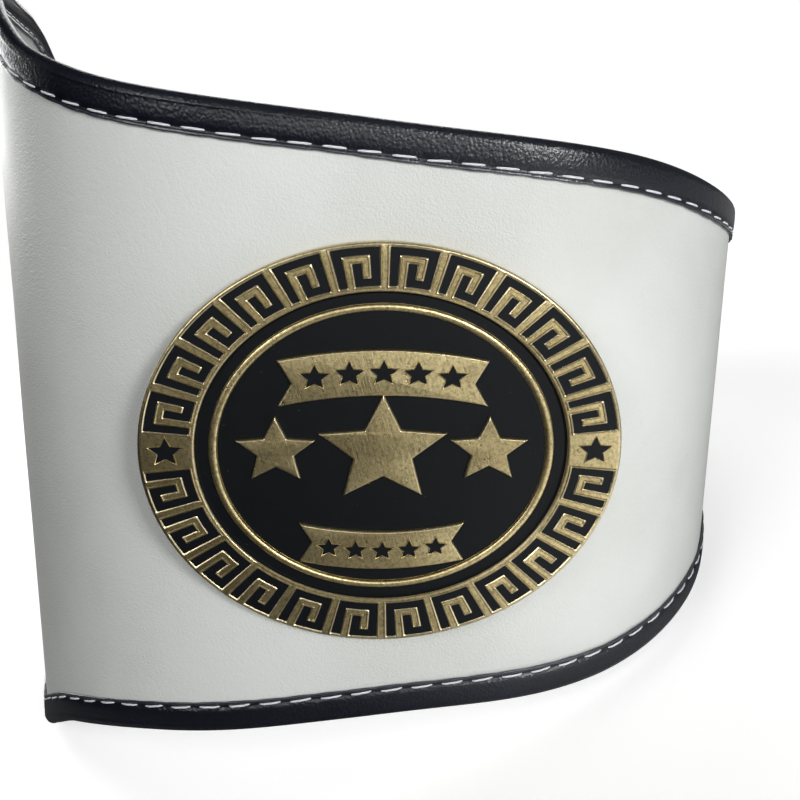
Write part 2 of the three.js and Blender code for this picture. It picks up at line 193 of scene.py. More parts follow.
# How the belt stands: its own axes in the frame, read from where the model has its rivets and plate
def restPlace():
    centre = [np.add(*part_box(f"medallion_rivet_{n}")) / 2 for n in (1, 2, 3)]
    across = np.array(centre[1] - centre[0])
    across /= np.linalg.norm(across)
    up = np.array(centre[0] - centre[2])
    up -= across * (up @ across)
    up /= np.linalg.norm(up)
    axes = np.stack([across, np.cross(up, across), up])
    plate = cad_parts["medallion"].data
    corners = np.empty(len(plate.vertices) * 3)
    plate.vertices.foreach_get("co", corners)
    local = corners.reshape(-1, 3) @ axes.T
    middle = (local.min(axis=0) + local.max(axis=0)) / 2
    face = local[:, 1].max() + 0.001 * strap["plateGap"]
    origin = np.array([middle[0], face, middle[2] + 0.001 * strap["plateDrop"]])
    return axes, origin @ axes


beltAxes, beltOrigin = restPlace()


def toFrame(points):
    # Millimetres in the belt's frame to metres in the model's frame
    return 0.001 * points @ beltAxes + beltOrigin


leaning = math.degrees(math.acos(beltAxes[2, 2]))
print("belt stands at", beltOrigin.round(4), "leaning", round(leaning, 1), "degrees")

# Camera: where the photograph was taken from, around the plate's middle
camera = {
    "width": 800,
    "focal": 954.0,          # pixels
    "distance": 240.0,
    "elevation": 17.043,
    "azimuth": -2.487,
    "roll": 0.524,
    "middle": (382.45, 446.94),     # the pixel that shows the plate's middle
    "sensor": 36,
}


def placeCamera():
    # Looks at the plate's middle, then turns by the small angle that puts it at its pixel
    up, aside, roll = (math.radians(camera[k]) for k in ("elevation", "azimuth", "roll"))
    back = np.array([math.sin(aside) * math.cos(up), -math.cos(aside) * math.cos(up), math.sin(up)])
    place = np.array([0, 0, -strap["plateDrop"]]) + back * camera["distance"]
    ahead = -back
    right = np.cross(ahead, [0, 0, 1])
    right /= np.linalg.norm(right)
    high = np.cross(right, ahead)
    rolled = np.stack([math.cos(roll) * right + math.sin(roll) * high,
                       math.cos(roll) * high - math.sin(roll) * right, ahead])
    centre = camera["width"] / 2
    goal = np.array([camera["middle"][0] - centre, centre - camera["middle"][1], camera["focal"]])
    goal /= np.linalg.norm(goal)
    axis = np.cross([0, 0, 1], goal)
    cross = np.array([[0, -axis[2], axis[1]], [axis[2], 0, -axis[0]], [-axis[1], axis[0], 0]])
    turn = np.eye(3) + cross + cross @ cross / (1 + goal[2])
    axes = turn @ rolled @ beltAxes
    data = bpy.data.cameras.new("photoCamera")
    data.sensor_width = camera["sensor"]
    data.lens = camera["focal"] / camera["width"] * camera["sensor"]
    data.clip_start = 0.01
    shot = bpy.data.objects.new("photoCamera", data)
    where = Matrix.Identity(4)
    for column, vector in enumerate((axes[0], axes[1], -axes[2], toFrame(place))):
        where[0][column], where[1][column], where[2][column] = vector
    shot.matrix_world = where
    bpy.context.scene.collection.objects.link(shot)
    bpy.context.scene.camera = shot
    print("camera at", np.array(toFrame(place)).round(3), "lens", round(data.lens, 2))


placeCamera()


# A wire is one socket. Sums and products of wires and numbers add their Math nodes.
class Wire:
    def __init__(self, shade, socket):
        self.shade = shade
        self.socket = socket

    def math(self, operation, a, b=None):
        values = {0: a} if b is None else {0: a, 1: b}
        return self.shade.node("ShaderNodeMath", {"operation": operation}, values)

    def __add__(self, other): return self.math("ADD", self, other)
    def __radd__(self, other): return self.math("ADD", other, self)
    def __sub__(self, other): return self.math("SUBTRACT", self, other)
    def __rsub__(self, other): return self.math("SUBTRACT", other, self)
    def __mul__(self, other): return self.math("MULTIPLY", self, other)
    def __rmul__(self, other): return self.math("MULTIPLY", other, self)
    def distance(self): return self.math("ABSOLUTE", self)
    def lowest(self, other): return self.math("MINIMUM", self, other)

    # 0 at low, 1 at high, and smooth between
    def ramp(self, low, high):
        settings = {"interpolation_type": "SMOOTHSTEP"}
        return self.shade.node("ShaderNodeMapRange", settings, {0: self, 1: low, 2: high})


# One material's or world's nodes. The method node makes any kind from its settings and sockets.
class Shade:
    def __init__(self, owner):
        self.owner = owner
        owner.use_nodes = True
        self.tree = owner.node_tree
        self.tree.nodes.clear()

    def node(self, kind, settings, sockets, output=0):
        made = self.tree.nodes.new(kind)
        for key, value in settings.items():
            setattr(made, key, value)
        for key, value in sockets.items():
            if isinstance(value, Wire):
                self.tree.links.new(value.socket, made.inputs[key])
            else:
                made.inputs[key].default_value = value
        return Wire(self, made.outputs[output]) if len(made.outputs) else made

    def place(self, turn=(0, 0, 0), scale=(1, 1, 1)):
        spot = self.node("ShaderNodeTexCoord", {}, {}, "Object")
        return self.node("ShaderNodeMapping", {}, {"Vector": spot, "Rotation": turn, "Scale": scale})

    def noise(self, place, scale, detail=2.0, rough=0.5):
        sockets = {"Vector": place, "Scale": scale, "Detail": detail, "Roughness": rough}
        return self.node("ShaderNodeTexNoise", {}, sockets)

    def mix(self, factor, a, b):
        return self.node("ShaderNodeMix", {"data_type": "RGBA"}, {0: factor, 6: a, 7: b}, 2)

    def bump(self, height, distance, strength=1.0, under=None):
        sockets = {"Height": height, "Distance": distance, "Strength": strength}
        if under is not None:
            sockets["Normal"] = under
        return self.node("ShaderNodeBump", {}, sockets)

    def finish(self, sockets):
        surface = self.node("ShaderNodeBsdfPrincipled", {}, sockets)
        self.node("ShaderNodeOutputMaterial", {}, {"Surface": surface})
        return self.owner


def newShade(name):
    return Shade(bpy.data.materials.new(name))


def colour(red, green, blue):
    # Screen values from 0 to 255 to the renderer's linear ones
    share = np.array([red, green, blue]) / 255
    linear = np.where(share <= 0.04045, share / 12.92, ((share + 0.055) / 1.055) ** 2.4)
    return (*[float(v) for v in linear], 1.0)


# Colours are screen values and every noise scale is a count to a metre
leatherLook = {
    "clean": (224, 227, 224),
    "shaded": (215, 217, 213),
    "mark": (168, 166, 158),
    "pebble": 1800.0,
    "soft": 650.0,
    "crease": 150.0,
}


def whiteLeather():
    shade = newShade("whiteLeather")
    place = shade.place()
    cloud = shade.noise(place, 14, 3, 0.6)
    grime = shade.noise(place, 130, 4, 0.7)
    marks = grime.ramp(0.68, 0.8)
    base = shade.mix(cloud.ramp(0.35, 0.7), colour(*leatherLook["clean"]), colour(*leatherLook["shaded"]))
    base = shade.mix(marks * 0.35, base, colour(*leatherLook["mark"]))
    cells = shade.node("ShaderNodeTexVoronoi", {"feature": "SMOOTH_F1"},
                       {"Vector": place, "Scale": leatherLook["pebble"], "Smoothness": 0.6})
    soft = shade.noise(place, leatherLook["soft"], 3, 0.6)
    grain = shade.noise(place, 2400, 2, 0.5)
    crease = shade.noise(shade.place(scale=(1, 1, 0.22)), leatherLook["crease"], 4, 0.7)
    creases = (1 - (crease - 0.5).distance().ramp(0.0, 0.02)) * (1 - cloud.ramp(0.35, 0.5))
    strength = cloud.ramp(0.3, 0.7) * 0.7 + 0.3
    first = shade.bump(soft - creases * 0.3, 0.00015, 0.5)
    second = shade.bump((1 - cells) * strength + grain * 0.25, 0.00019, 0.7, first)
    rough = 0.36 + cloud * 0.12 + grain * 0.08
    return shade.finish({"Base Color": base, "Roughness": rough, "Normal": second,
                         "Specular IOR Level": 0.42})


bindingLook = {
    "deep": (26, 29, 42),
    "pale": (33, 36, 50),
    "worn": (78, 80, 84),
    "pebble": 1250.0,
}


def blackLeather():
    shade = newShade("blackLeather")
    place = shade.place()
    cloud = shade.noise(place, 22, 3, 0.6)
    cells = shade.node("ShaderNodeTexVoronoi", {"feature": "SMOOTH_F1"},
                       {"Vector": place, "Scale": bindingLook["pebble"], "Smoothness": 0.5})
    grain = shade.noise(place, 3000, 2, 0.55)
    worn = shade.noise(place, 420, 4, 0.7).ramp(0.62, 0.78)
    base = shade.mix(cloud.ramp(0.3, 0.7), colour(*bindingLook["deep"]), colour(*bindingLook["pale"]))
    base = shade.mix(worn * 0.3, base, colour(*bindingLook["worn"]))
    normal = shade.bump((1 - cells) * 0.9 + grain * 0.3, 0.00018, 0.7)
    rough = 0.25 + cloud * 0.1 + worn * 0.12
    return shade.finish({"Base Color": base, "Roughness": rough, "Normal": normal,
                         "Specular IOR Level": 1.0, "Coat Weight": 0.3, "Coat Roughness": 0.25})


def threadLook():
    shade = newShade("thread")
    track = shade.node("ShaderNodeUVMap", {"uv_map": "lay"}, {})
    plies = shade.node("ShaderNodeTexWave", {"wave_type": "BANDS", "bands_direction": "DIAGONAL"},
                       {"Vector": track, "Scale": 2.6, "Distortion": 0.6})
    place = shade.place()
    fuzz = shade.noise(place, 2600, 2, 0.6)
    base = shade.mix(plies * 0.6, colour(246, 247, 250), colour(222, 225, 234))
    normal = shade.bump(plies + fuzz * 0.3, 0.00012, 0.7)
    return shade.finish({"Base Color": base, "Roughness": 0.55, "Normal": normal})


bronzeLook = {
    "bright": (230, 213, 160),
    "plain": (200, 182, 134),
    "dull": (90, 78, 55),
    # paler bronze on edges: partly worn metal, partly a painted highlight
    "rubAndGlint": (246, 236, 206),
}


def castBronze():
    shade = newShade("castBronze")
    place = shade.place()
    rubAndGlint = shade.node("ShaderNodeAttribute", {"attribute_name": "rubAndGlint"}, {}, "Fac")
    cloud = shade.noise(place, 42, 4, 0.62)
    patch = shade.noise(place, 150, 3, 0.6).ramp(0.42, 0.62)
    mottle = shade.noise(place, 1100, 4, 0.75)
    pits = shade.noise(place, 520, 3, 0.75).ramp(0.6, 0.74)
    strokes = shade.noise(shade.place(turn=(0, 0.6, 0), scale=(1, 1, 0.05)), 1700, 3, 0.65)
    across = shade.noise(shade.place(turn=(0, -0.8, 0), scale=(1, 1, 0.05)), 1500, 3, 0.65)
    brushed = strokes * patch + across * (1 - patch)
    base = shade.mix(cloud.ramp(0.3, 0.7), colour(*bronzeLook["plain"]), colour(*bronzeLook["bright"]))
    tarnish = (mottle.ramp(0.42, 0.66) * 0.5 + pits * 0.6).lowest(0.85)
    base = shade.mix(tarnish, base, colour(*bronzeLook["dull"]))
    # edges and walls of the relief are painted paler: partly worn metal, partly a painted highlight
    base = shade.mix(rubAndGlint * 0.6, base, colour(*bronzeLook["rubAndGlint"]))
    rough = 0.2 + brushed * 0.16 + mottle * 0.14 - rubAndGlint * 0.08
    normal = shade.bump(brushed * 0.9 + mottle * 0.7 - pits * 0.5, 0.00009, 0.8)
    return shade.finish({"Base Color": base, "Roughness": rough, "Metallic": 1.0, "Normal": normal})


def blackEnamel():
    shade = newShade("blackEnamel")
    place = shade.place()
    peel = shade.noise(place, 260, 2, 0.5)
    dust = shade.noise(place, 1300, 3, 0.7).ramp(0.71, 0.76)
    base = shade.mix(dust * 0.6, colour(9, 13, 17), colour(120, 122, 120))
    rough = 0.4 + dust * 0.2 + peel * 0.1
    return shade.finish({"Base Color": base, "Roughness": rough, "Normal": shade.bump(peel, 0.00003, 0.6),
                         "Specular IOR Level": 0.2})


def nickelLook():
    shade = newShade("nickel")
    place = shade.place()
    cloud = shade.noise(place, 300, 3, 0.6)
    fine = shade.noise(place, 2500, 2, 0.5)
    base = shade.mix(cloud.ramp(0.4, 0.7), colour(196, 197, 198), colour(160, 160, 158))
    return shade.finish({"Base Color": base, "Roughness": 0.22 + cloud * 0.14, "Metallic": 1.0,
                         "Normal": shade.bump(fine, 0.00003, 0.4)})


materials = {
    "leather": whiteLeather(),
    "binding": blackLeather(),
    "thread": threadLook(),
    "bronze": castBronze(),
    "enamel": blackEnamel(),
    "nickel": nickelLook(),
}
print("materials made")


def makePiece(name, points, faces, looks, nodes=(), sharp=None):
    mesh = bpy.data.meshes.new(name)
    mesh.from_pydata(toFrame(points).tolist(), [], [list(face) for face in faces])
    mesh.shade_smooth()
    corners = np.empty(len(mesh.polygons), dtype=np.int32)
    mesh.polygons.foreach_get("loop_total", corners)
    mesh.polygons.foreach_set("use_smooth", corners <= 4)       # a face with many corners is a flat top
    if sharp:
        mesh.set_sharp_from_angle(angle=math.radians(sharp))
    for look in looks:
        mesh.materials.append(materials[look])
    piece = bpy.data.objects.new(name, mesh)
    bpy.context.scene.collection.objects.link(piece)
    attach(piece, "root")
    if nodes:
        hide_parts(*nodes)
    return piece


def gridFaces(rows, columns, closedRows, closedColumns, first=0):
    # Quads between neighbours of a grid, round the seam where a side is closed
    i = np.arange(rows if closedRows else rows - 1)[:, None]
    j = np.arange(columns if closedColumns else columns - 1)[None, :]
    nextRow, nextColumn = (i + 1) % rows, (j + 1) % columns
    corners = [i * columns + j, i * columns + nextColumn,
               nextRow * columns + nextColumn, nextRow * columns + j]
    return np.stack([np.broadcast_to(c, (i.size, j.size)).ravel() for c in corners], axis=1) + first


def waves(place, seed, lengths):
    # Sum of sines of the given wavelengths with seeded phases, from about -1 to 1
    phases = np.random.default_rng(seed).uniform(0, 2 * math.pi, len(lengths))
    parts = [np.sin(2 * math.pi * place / length + phase) for length, phase in zip(lengths, phases)]
    return sum(parts) / len(lengths)


# White leather wall
leather = {
    "stations": 620,
    "rowsOut": 64,
    "rowsIn": 22,
    "pucker": 0.16,
    "puckerReach": 10.0,
    "rippleLengths": (16.3, 24.5, 41.0),
    "swell": 0.25,
    "swellAlong": (140, 95, 61),
    "swellUp": (150, 88),
    "plateHold": 70.0,       # the strap lies still within this reach of the plate's middle
    "holdEase": 30,
    "share": 0.7,            # of the moves above that the wall takes
    "edge": ((1.0, -0.5), (1.0, -1.2), (1.0, -1.9)),     # share of the height, and depth
}


def leatherWall():
    # Section of a thin wall, carried along the strap and seated in the binding. The face moves out by
    # the product of two sums of sines, and by small puckers that fade with e^-distance from the
    # stitches. Both are still behind the plate.
    inset = binding["wall"] + binding["seamGap"]
    end = strap["halfLength"] - inset
    straight = strap["halfLength"] - strap["endCorner"]
    corner = straight + np.sin(np.linspace(0, math.pi / 2, 16)[1:]) * (strap["endCorner"] - inset)
    along = np.concatenate([-corner[::-1], np.linspace(-straight, straight, leather["stations"]), corner])
    squeeze = strap["halfLength"] / end
    half = halfHeightAt(along * squeeze) - inset
    quarterTurn = math.pi / 2
    up, down = [np.sin(np.linspace(-quarterTurn, quarterTurn, leather[k])) for k in ("rowsOut", "rowsIn")]
    edge = np.array(leather["edge"])
    share = np.concatenate([up, edge[:, 0], down[::-1], -edge[:, 0]])
    depth = np.concatenate([0 * up, edge[:, 1], 0 * down - strap["wall"], edge[::-1, 1]])
    a, s = np.meshgrid(along, share, indexing="ij")
    h = half[:, None] * s
    fromLip = np.abs(half)[:, None] - np.abs(h) - binding["width"] + inset
    near = np.exp(-np.clip(fromLip, 0, None) / leather["puckerReach"]) * (fromLip > -3)
    fromPlate = np.hypot(a - strap["plateFromMiddle"], h * 1.1)
    hold = smoothStep((fromPlate - leather["plateHold"]) / leather["holdEase"])
    ripple = waves(a, 3, leather["rippleLengths"]) * near * leather["pucker"]
    swell = waves(a + 0.3 * h, 5, leather["swellAlong"]) * waves(h, 6, leather["swellUp"])
    swell = swell * leather["swell"] * (1 - s ** 4)
    out = depth[None, :] + (ripple + swell) * hold * leather["share"]
    points = strapPoints(a, h, out).reshape(-1, 3)
    columns = share.size
    faces = gridFaces(along.size, columns, False, True).tolist()
    faces.append(list(range(columns)))
    faces.append(list(range((along.size - 1) * columns, along.size * columns))[::-1])
    return points, [face[::-1] for face in faces]


points, faces = leatherWall()
makePiece("leatherWall", points, faces, ["leather"], ["leather_strap"], sharp=40)
print("leather wall made")

# Folded binding round the whole outline
outlineLength = outlineCurve()[1][-1]
stitchCount = round(outlineLength / binding["stitchPitch"])
stitchLine = binding["width"] - binding["stitchFromLip"]


def bindingSection():
    # Half circle fold, two flat sides, round lips and a slot for the wall: how far in from the edge
    # and how far out from the strap's face
    front = binding["out"]
    back = -strap["wall"] - binding["out"]
    fold = (front - back) / 2
    centre = (front + back) / 2
    lip = binding["wall"] / 2
    flat = np.array(binding["rowsFromLip"])
    side = binding["width"] - lip - flat[flat < binding["width"] - lip - fold]
    turn = np.linspace(0, math.pi, 11)
    bulge = np.linspace(-math.pi / 2, math.pi / 2, 7)
    frontLip = [(binding["width"] - lip + lip * math.cos(r), front - lip + lip * math.sin(r)) for r in bulge]
    rows = frontLip
    rows += [(i, front) for i in side]
    rows += [(fold - fold * math.sin(t), centre + fold * math.cos(t)) for t in turn]
    rows += [(i, back) for i in side[::-1]]
    rows += [(i, back + front - o) for i, o in frontLip[::-1]]
    rows += [(binding["wall"], -strap["wall"] - binding["seamGap"]), (binding["wall"], binding["seamGap"])]
    return np.array(rows)


def bindingGrid():
    # The section carried round the outline. Its sides swell by a sine between fold and stitches and
    # sink along the stitch line by a bell curve that is deeper at the holes. A narrow bell curve
    # raises the crease, and the lips wave with the stitch pitch and a sum of sines.
    count = stitchCount * binding["samplesPerStitch"]
    loop = outlineLoop(count)
    inward = inwardNormals(loop)
    section = bindingSection()
    phase = np.arange(count)[:, None] / binding["samplesPerStitch"]
    hole = (0.5 + 0.5 * np.cos(2 * math.pi * phase)) ** 3
    uneven = 1 + 0.35 * waves(phase, 9, (3.7, 7.3, 13.1))
    depthIn, depthOut = section[None, :, 0], section[None, :, 1]
    centre = -strap["wall"] / 2
    side = np.sign(depthOut - centre)
    skin = (np.abs(depthOut - centre) > strap["wall"] / 2 + 0.6 * binding["out"]) * 1.0
    groove = np.exp(-((depthIn - stitchLine) / binding["grooveWidth"]) ** 2)
    crown = np.sin(math.pi * np.clip((depthIn - 1.2) / (stitchLine - 1.2), 0, 1))
    lip = smoothStep((depthIn - stitchLine) / 1.2)
    move = binding["crown"] * crown * uneven - groove * (binding["grooveDepth"] + binding["holeDepth"] * hole)
    move = move + lip * binding["lipLift"] * (1 - hole)
    crease = np.exp(-((depthIn - binding["creaseIn"]) / binding["creaseWidth"]) ** 2)
    nearMiddle = smoothStep((binding["creaseReach"] - np.abs(loop[:, None, 0])) / binding["creaseEase"])
    move = move + nearMiddle * uneven * crease * binding["crease"]
    wave = binding["lipWave"] * lip * (0.5 * (1 - hole) + 0.5 * waves(phase, 12, (2.9, 5.3, 9.7)))
    flat = loop[:, None, :] + inward[:, None, :] * (depthIn + wave)[..., None]
    return strapPoints(flat[..., 0], flat[..., 1], depthOut + side * skin * move)


grid = bindingGrid()
faces = gridFaces(*grid.shape[:2], True, True)
faces = faces[:, ::-1].tolist()
makePiece("foldedBinding", grid.reshape(-1, 3), faces, ["binding"], ["binding"])
print("binding made,", stitchCount, "stitches")

# White stitches on both faces of the binding
stitch = {
    "length": 6.1,
    "thickness": 0.6,
    "rings": 7,
    "sides": 6,
    "dip": 0.55,
    "overGroove": 0.26,
    "aside": 0.07,           # spread of the stitches' places
    "slant": (0.13, 0.07),   # mean and spread
    "flatness": 0.85,
}


def stitchPoints():
    # Each stitch is a thread whose radius is r * (1 - t^6)^0.5 along it, from t = -1 to 1, and whose
    # middle line lies at level - dip * t^4, so that its ends sink into their holes
    share = np.sin(np.linspace(-math.pi / 2, math.pi / 2, stitch["rings"]))
    turn = np.arange(stitch["sides"]) / stitch["sides"] * 2 * math.pi
    count = stitchCount
    spots = (np.arange(count)[:, None] + 0.5) / count + share[None, :] * stitch["length"] / 2 / outlineLength
    fine = outlineLoop(count * 24)
    normal = inwardNormals(fine)
    index = spots * len(fine)
    low = np.floor(index).astype(int) % len(fine)
    part = (index - np.floor(index))[..., None]
    high = (low + 1) % len(fine)
    centre = fine[low] * (1 - part) + fine[high] * part
    inward = normal[low] * (1 - part) + normal[high] * part
    jitter = np.random.default_rng(21).normal(0, stitch["aside"], (count, 1))
    slant = np.random.default_rng(22).normal(*stitch["slant"], (count, 1)) * share[None, :]
    radius = stitch["thickness"] / 2 * np.clip(1 - share ** 6, 0, 1) ** 0.5
    sides = []
    for face in (1, -1):
        level = binding["out"] - binding["grooveDepth"] + stitch["overGroove"]
        rise = level - stitch["dip"] * share ** 4
        inset = (stitchLine + jitter + slant)[..., None] + radius[None, :, None] * np.cos(turn)[None, None, :]
        lift = rise[None, :, None] + radius[None, :, None] * np.sin(turn)[None, None, :] * stitch["flatness"]
        out = lift if face > 0 else -strap["wall"] - lift
        flat = centre[:, :, None, :] + inward[:, :, None, :] * inset[..., None]
        sides.append(strapPoints(flat[..., 0], flat[..., 1], out))
    return np.stack(sides)


def stitchMesh():
    grid = stitchPoints()
    faceCount, count, rings, around = grid.shape[:4]
    one = gridFaces(rings, around, False, True)
    caps = [list(range(around)), list(range((rings - 1) * around, rings * around))[::-1]]
    faces = []
    for side in range(faceCount):
        for n in range(count):
            first = (side * count + n) * rings * around
            body = one + first
            ends = [[v + first for v in cap] for cap in caps]
            if side == 1:
                body = body[:, ::-1]
                ends = [cap[::-1] for cap in ends]
            faces += body.tolist() + ends
    uv = np.stack(np.broadcast_arrays(
        np.arange(rings)[None, :, None] / rings + np.arange(faceCount * count)[:, None, None],
        np.arange(around)[None, None, :] / around), axis=-1)
    return grid.reshape(-1, 3), faces, uv.reshape(-1, 2)


def addUv(piece, name, uv):
    layer = piece.data.uv_layers.new(name=name)
    corner = np.empty(len(piece.data.loops), dtype=np.int32)
    piece.data.loops.foreach_get("vertex_index", corner)
    layer.data.foreach_set("uv", uv[corner].ravel())


points, faces, uv = stitchMesh()
stitches = makePiece("stitches", points, faces, ["thread"])
addUv(stitches, "lay", uv)
print("stitches made")

# Cast plate: drawn round, pressed to its oval height, and set on the strap's face
plateShape = {
    "halfWidth": 60.0,
    "height": 102.8,
    "sides": 288,
    "base": 2.4,
    "bandRise": 1.2,
    "ridgeRise": 1.0,
    "figureRise": 1.1,
    "chamfer": 0.8,
    "bandInside": 0.775,
    "grooveOutside": 0.762,
    "ridgeOutside": 0.715,
    "ridgeInside": 0.68,
    "keysInArc": 12,
    "keyHeight": 10.8,
    "keySpread": 78.0,
    "markRadius": 4.2,
    "bigStar": 17.0,
    "smallStar": 10.5,
    "smallStarAside": 26.5,
    "starWaist": 0.46,
    "ribbons": (
        {"width": 52.0, "height": 13.5, "up": 21.5, "arch": 1.6, "notch": 3.4},
        {"width": 42.0, "height": 12.0, "up": -29.5, "arch": -1.4, "notch": 3.2},
    ),
    "ribbonStars": 5,
    "ribbonStar": 3.6,
    "ribbonStarPitch": 8.4,
    # One key's corners on a grid of five by five
    "keyGrid": ((0, 0), (0, 5), (5, 5), (5, 0), (2, 0), (2, 3),
                (3, 3), (3, 1), (4, 1), (4, 4), (1, 4), (1, 0)),
    # Inset, height over the band and rub of a filled mark: the metal swells towards a thin edge and
    # falls steeply to the black filling. The rub paints the edge and the wall a paler bronze, partly
    # worn metal and partly a painted highlight
    "filled": ((-0.72, -0.1, 0.0), (-0.66, 0.0, 0.0), (-0.46, 0.2, 0.0), (-0.38, 0.28, 0.3),
               (-0.31, 0.28, 0.7), (-0.06, 0.06, 0.7), (-0.02, 0.04, 0.0), (0.3, 0.04, 0.0)),
    "blackFrom": 6,          # the filled mark's row where the black begins
    "onRibbon": (0.45, 0.8), # shares of the inset and the height of marks on a ribbon
}

plateParts = {"points": [], "faces": [], "look": [], "rubAndGlint": [], "count": 0}


def addPlatePart(points, faces, look, rubAndGlint):
    points = np.asarray(points).reshape(-1, 3)
    plateParts["points"].append(points)
    plateParts["faces"] += [[v + plateParts["count"] for v in face] for face in faces]
    plateParts["look"] += look
    plateParts["rubAndGlint"].append(np.asarray(rubAndGlint, dtype=float).ravel())
    plateParts["count"] += len(points)


def latheGrid(profile, sides, oval=1.0):
    # Radius and height rows turned about the axis, with one direction pressed to the oval's share
    turn = np.arange(sides) / sides * 2 * math.pi
    radius, height = profile[:, 0][:, None], profile[:, 1][:, None]
    return np.stack([radius * np.cos(turn), radius * np.sin(turn) * oval, height + 0 * turn], axis=-1)


def platePlace(points):
    # Plate drawing to belt frame: its height runs out of the strap's face, towards -Y
    x, y, rise = np.moveaxis(np.asarray(points), -1, 0)
    return np.stack([x, -strap["plateGap"] - rise, y - strap["plateDrop"]], axis=-1)


plateOval = plateShape["height"] / 2 / plateShape["halfWidth"]


def plateBase():
    # Rounded rim, flat band, sloped wall, black groove, half round ridge and the black field, as rows
    # of radius, height and rub. The rub paints the rim's round and the groove's edge a paler bronze,
    # partly worn metal and partly a painted highlight
    r = plateShape["halfWidth"]
    inside, outside = r * plateShape["bandInside"], r * plateShape["grooveOutside"]
    band = plateShape["base"] + plateShape["bandRise"]
    ridge = plateShape["base"] + plateShape["ridgeRise"]
    low = plateShape["base"]
    c = plateShape["chamfer"]
    rows = [(0.0, 0.0, 0), (r - 8, 0.0, 0), (r - 0.3, 0.0, 0), (r, 0.3, 0.1), (r, band - c, 0.15)]
    for t in np.linspace(0.3, 1.45, 5):
        rows.append((r - c * (1 - math.cos(t)), band - c * (1 - math.sin(t)), 0.35))
    rows += [(r - c - 0.3, band, 0.1), (r - c - 1.4, band, 0.0), (r * 0.9, band, 0.0)]
    rows += [(inside + 0.5, band, 0.0), (inside + 0.1, band - 0.02, 0.5), (inside - 0.05, band - 0.14, 0.5)]
    groove = len(rows)
    rows += [(inside - 0.25, band - 0.45, 0.0), (outside + 0.1, low + 0.12, 0.0), (outside - 0.05, low, 0.0),
             (r * plateShape["ridgeOutside"] + 0.05, low, 0.0)]
    grooveEnd = len(rows) - 1
    ridgeMiddle = r * (plateShape["ridgeOutside"] + plateShape["ridgeInside"]) / 2
    ridgeHalf = r * (plateShape["ridgeOutside"] - plateShape["ridgeInside"]) / 2
    for t in np.linspace(0, math.pi, 13):
        rows.append((ridgeMiddle + ridgeHalf * math.cos(t), low + (ridge - low) * math.sin(t) ** 0.6, 0.0))
    field = len(rows)
    rows += [(r * plateShape["ridgeInside"] - 0.05, low, 0.0)]
    rows += [(r * share, low, 0) for share in (0.6, 0.4, 0.2)]
    rows = np.array(rows)
    grid = latheGrid(rows[1:, :2], plateShape["sides"], plateOval)
    sides = plateShape["sides"]
    faces = gridFaces(len(rows) - 1, sides, False, True)
    row = np.arange(len(rows) - 2).repeat(sides)
    black = ((row + 1 >= groove) & (row + 1 < grooveEnd)) | (row + 1 >= field)
    closed = len(rows) - 1
    points = np.concatenate([grid.reshape(-1, 3), [(0, 0, 0), (0, 0, low)]])
    ring = np.arange(sides)
    bottom = np.stack([ring, np.full(sides, closed * sides), (ring + 1) % sides], axis=1)[:, ::-1]
    top = np.stack([ring, (ring + 1) % sides, np.full(sides, -1)], axis=1) + (closed - 1) * sides
    top[:, 2] = closed * sides + 1
    allFaces = faces.tolist() + bottom[:, ::-1].tolist() + top.tolist()
    looks = np.concatenate([black * 1, np.zeros(sides, int), np.ones(sides, int)]).astype(int).tolist()
    rubAndGlint = np.concatenate([rows[1:, 2].repeat(sides), [0, 0]])
    addPlatePart(platePlace(points), allFaces, looks, rubAndGlint)


def shrunk(corners, inset):
    # Each corner moves by the sum of its two sides' inward normals over one plus their dot product
    side = np.roll(corners, -1, axis=0) - corners
    side /= np.linalg.norm(side, axis=1)[:, None]
    normal = np.stack([-side[:, 1], side[:, 0]], axis=1)
    last = np.roll(normal, 1, axis=0)
    return corners + (normal + last) * inset / (1 + (normal * last).sum(axis=1))[:, None]


def roundedOutline(corners, radius, divisions):
    # Each corner gives way to a short parabola between the points where its sides are cut,
    # and what is left of each side is divided evenly
    before = np.roll(corners, 1, axis=0) - corners
    after = np.roll(corners, -1, axis=0) - corners
    lengthBefore = np.linalg.norm(before, axis=1)[:, None]
    lengthAfter = np.linalg.norm(after, axis=1)[:, None]
    start = corners + before / lengthBefore * np.minimum(radius, lengthBefore * 0.45)
    end = corners + after / lengthAfter * np.minimum(radius, lengthAfter * 0.45)
    t = np.linspace(0, 1, 5)[None, :, None]
    bent = (1 - t) ** 2 * start[:, None] + 2 * t * (1 - t) * corners[:, None] + t * t * end[:, None]
    share = (np.arange(divisions) + 1)[None, :, None] / (divisions + 1)
    side = end[:, None] * (1 - share) + np.roll(start, -1, axis=0)[:, None] * share
    return np.concatenate([bent, side], axis=1).reshape(-1, 2)


def reliefPart(corners, rows, blackFrom, radius=0.25, divisions=6):
    # Rows of inset, height and rub carried round an outline, closed by the last ring as one flat face.
    # The rub is a paler bronze, partly worn metal and partly a painted highlight
    corners = np.asarray(corners, dtype=float)
    area = (corners[:, 0] * np.roll(corners[:, 1], -1) - np.roll(corners[:, 0], -1) * corners[:, 1]).sum()
    corners = corners if area > 0 else corners[::-1]
    rings = [roundedOutline(shrunk(corners, inset), radius, divisions) for inset, _, _ in rows]
    m = len(rings[0])
    points = np.stack([np.column_stack([ring, np.full(m, row[1])]) for ring, row in zip(rings, rows)])
    faces = gridFaces(len(rows), m, False, True).tolist() + [list(range((len(rows) - 1) * m, len(rows) * m))]
    look = (np.arange(len(rows) - 1).repeat(m) >= blackFrom).astype(int).tolist()
    look.append(int(blackFrom < len(rows)))
    return points, faces, look, np.repeat([row[2] for row in rows], m)


def starCorners(radius, x=0.0, y=0.0):
    # Ten corners at two radii in turn
    angle = math.pi / 2 + np.arange(10) / 10 * 2 * math.pi
    reach = np.where(np.arange(10) % 2 == 0, radius, radius * plateShape["starWaist"])
    return np.stack([x + reach * np.cos(angle), y + reach * np.sin(angle)], axis=1)


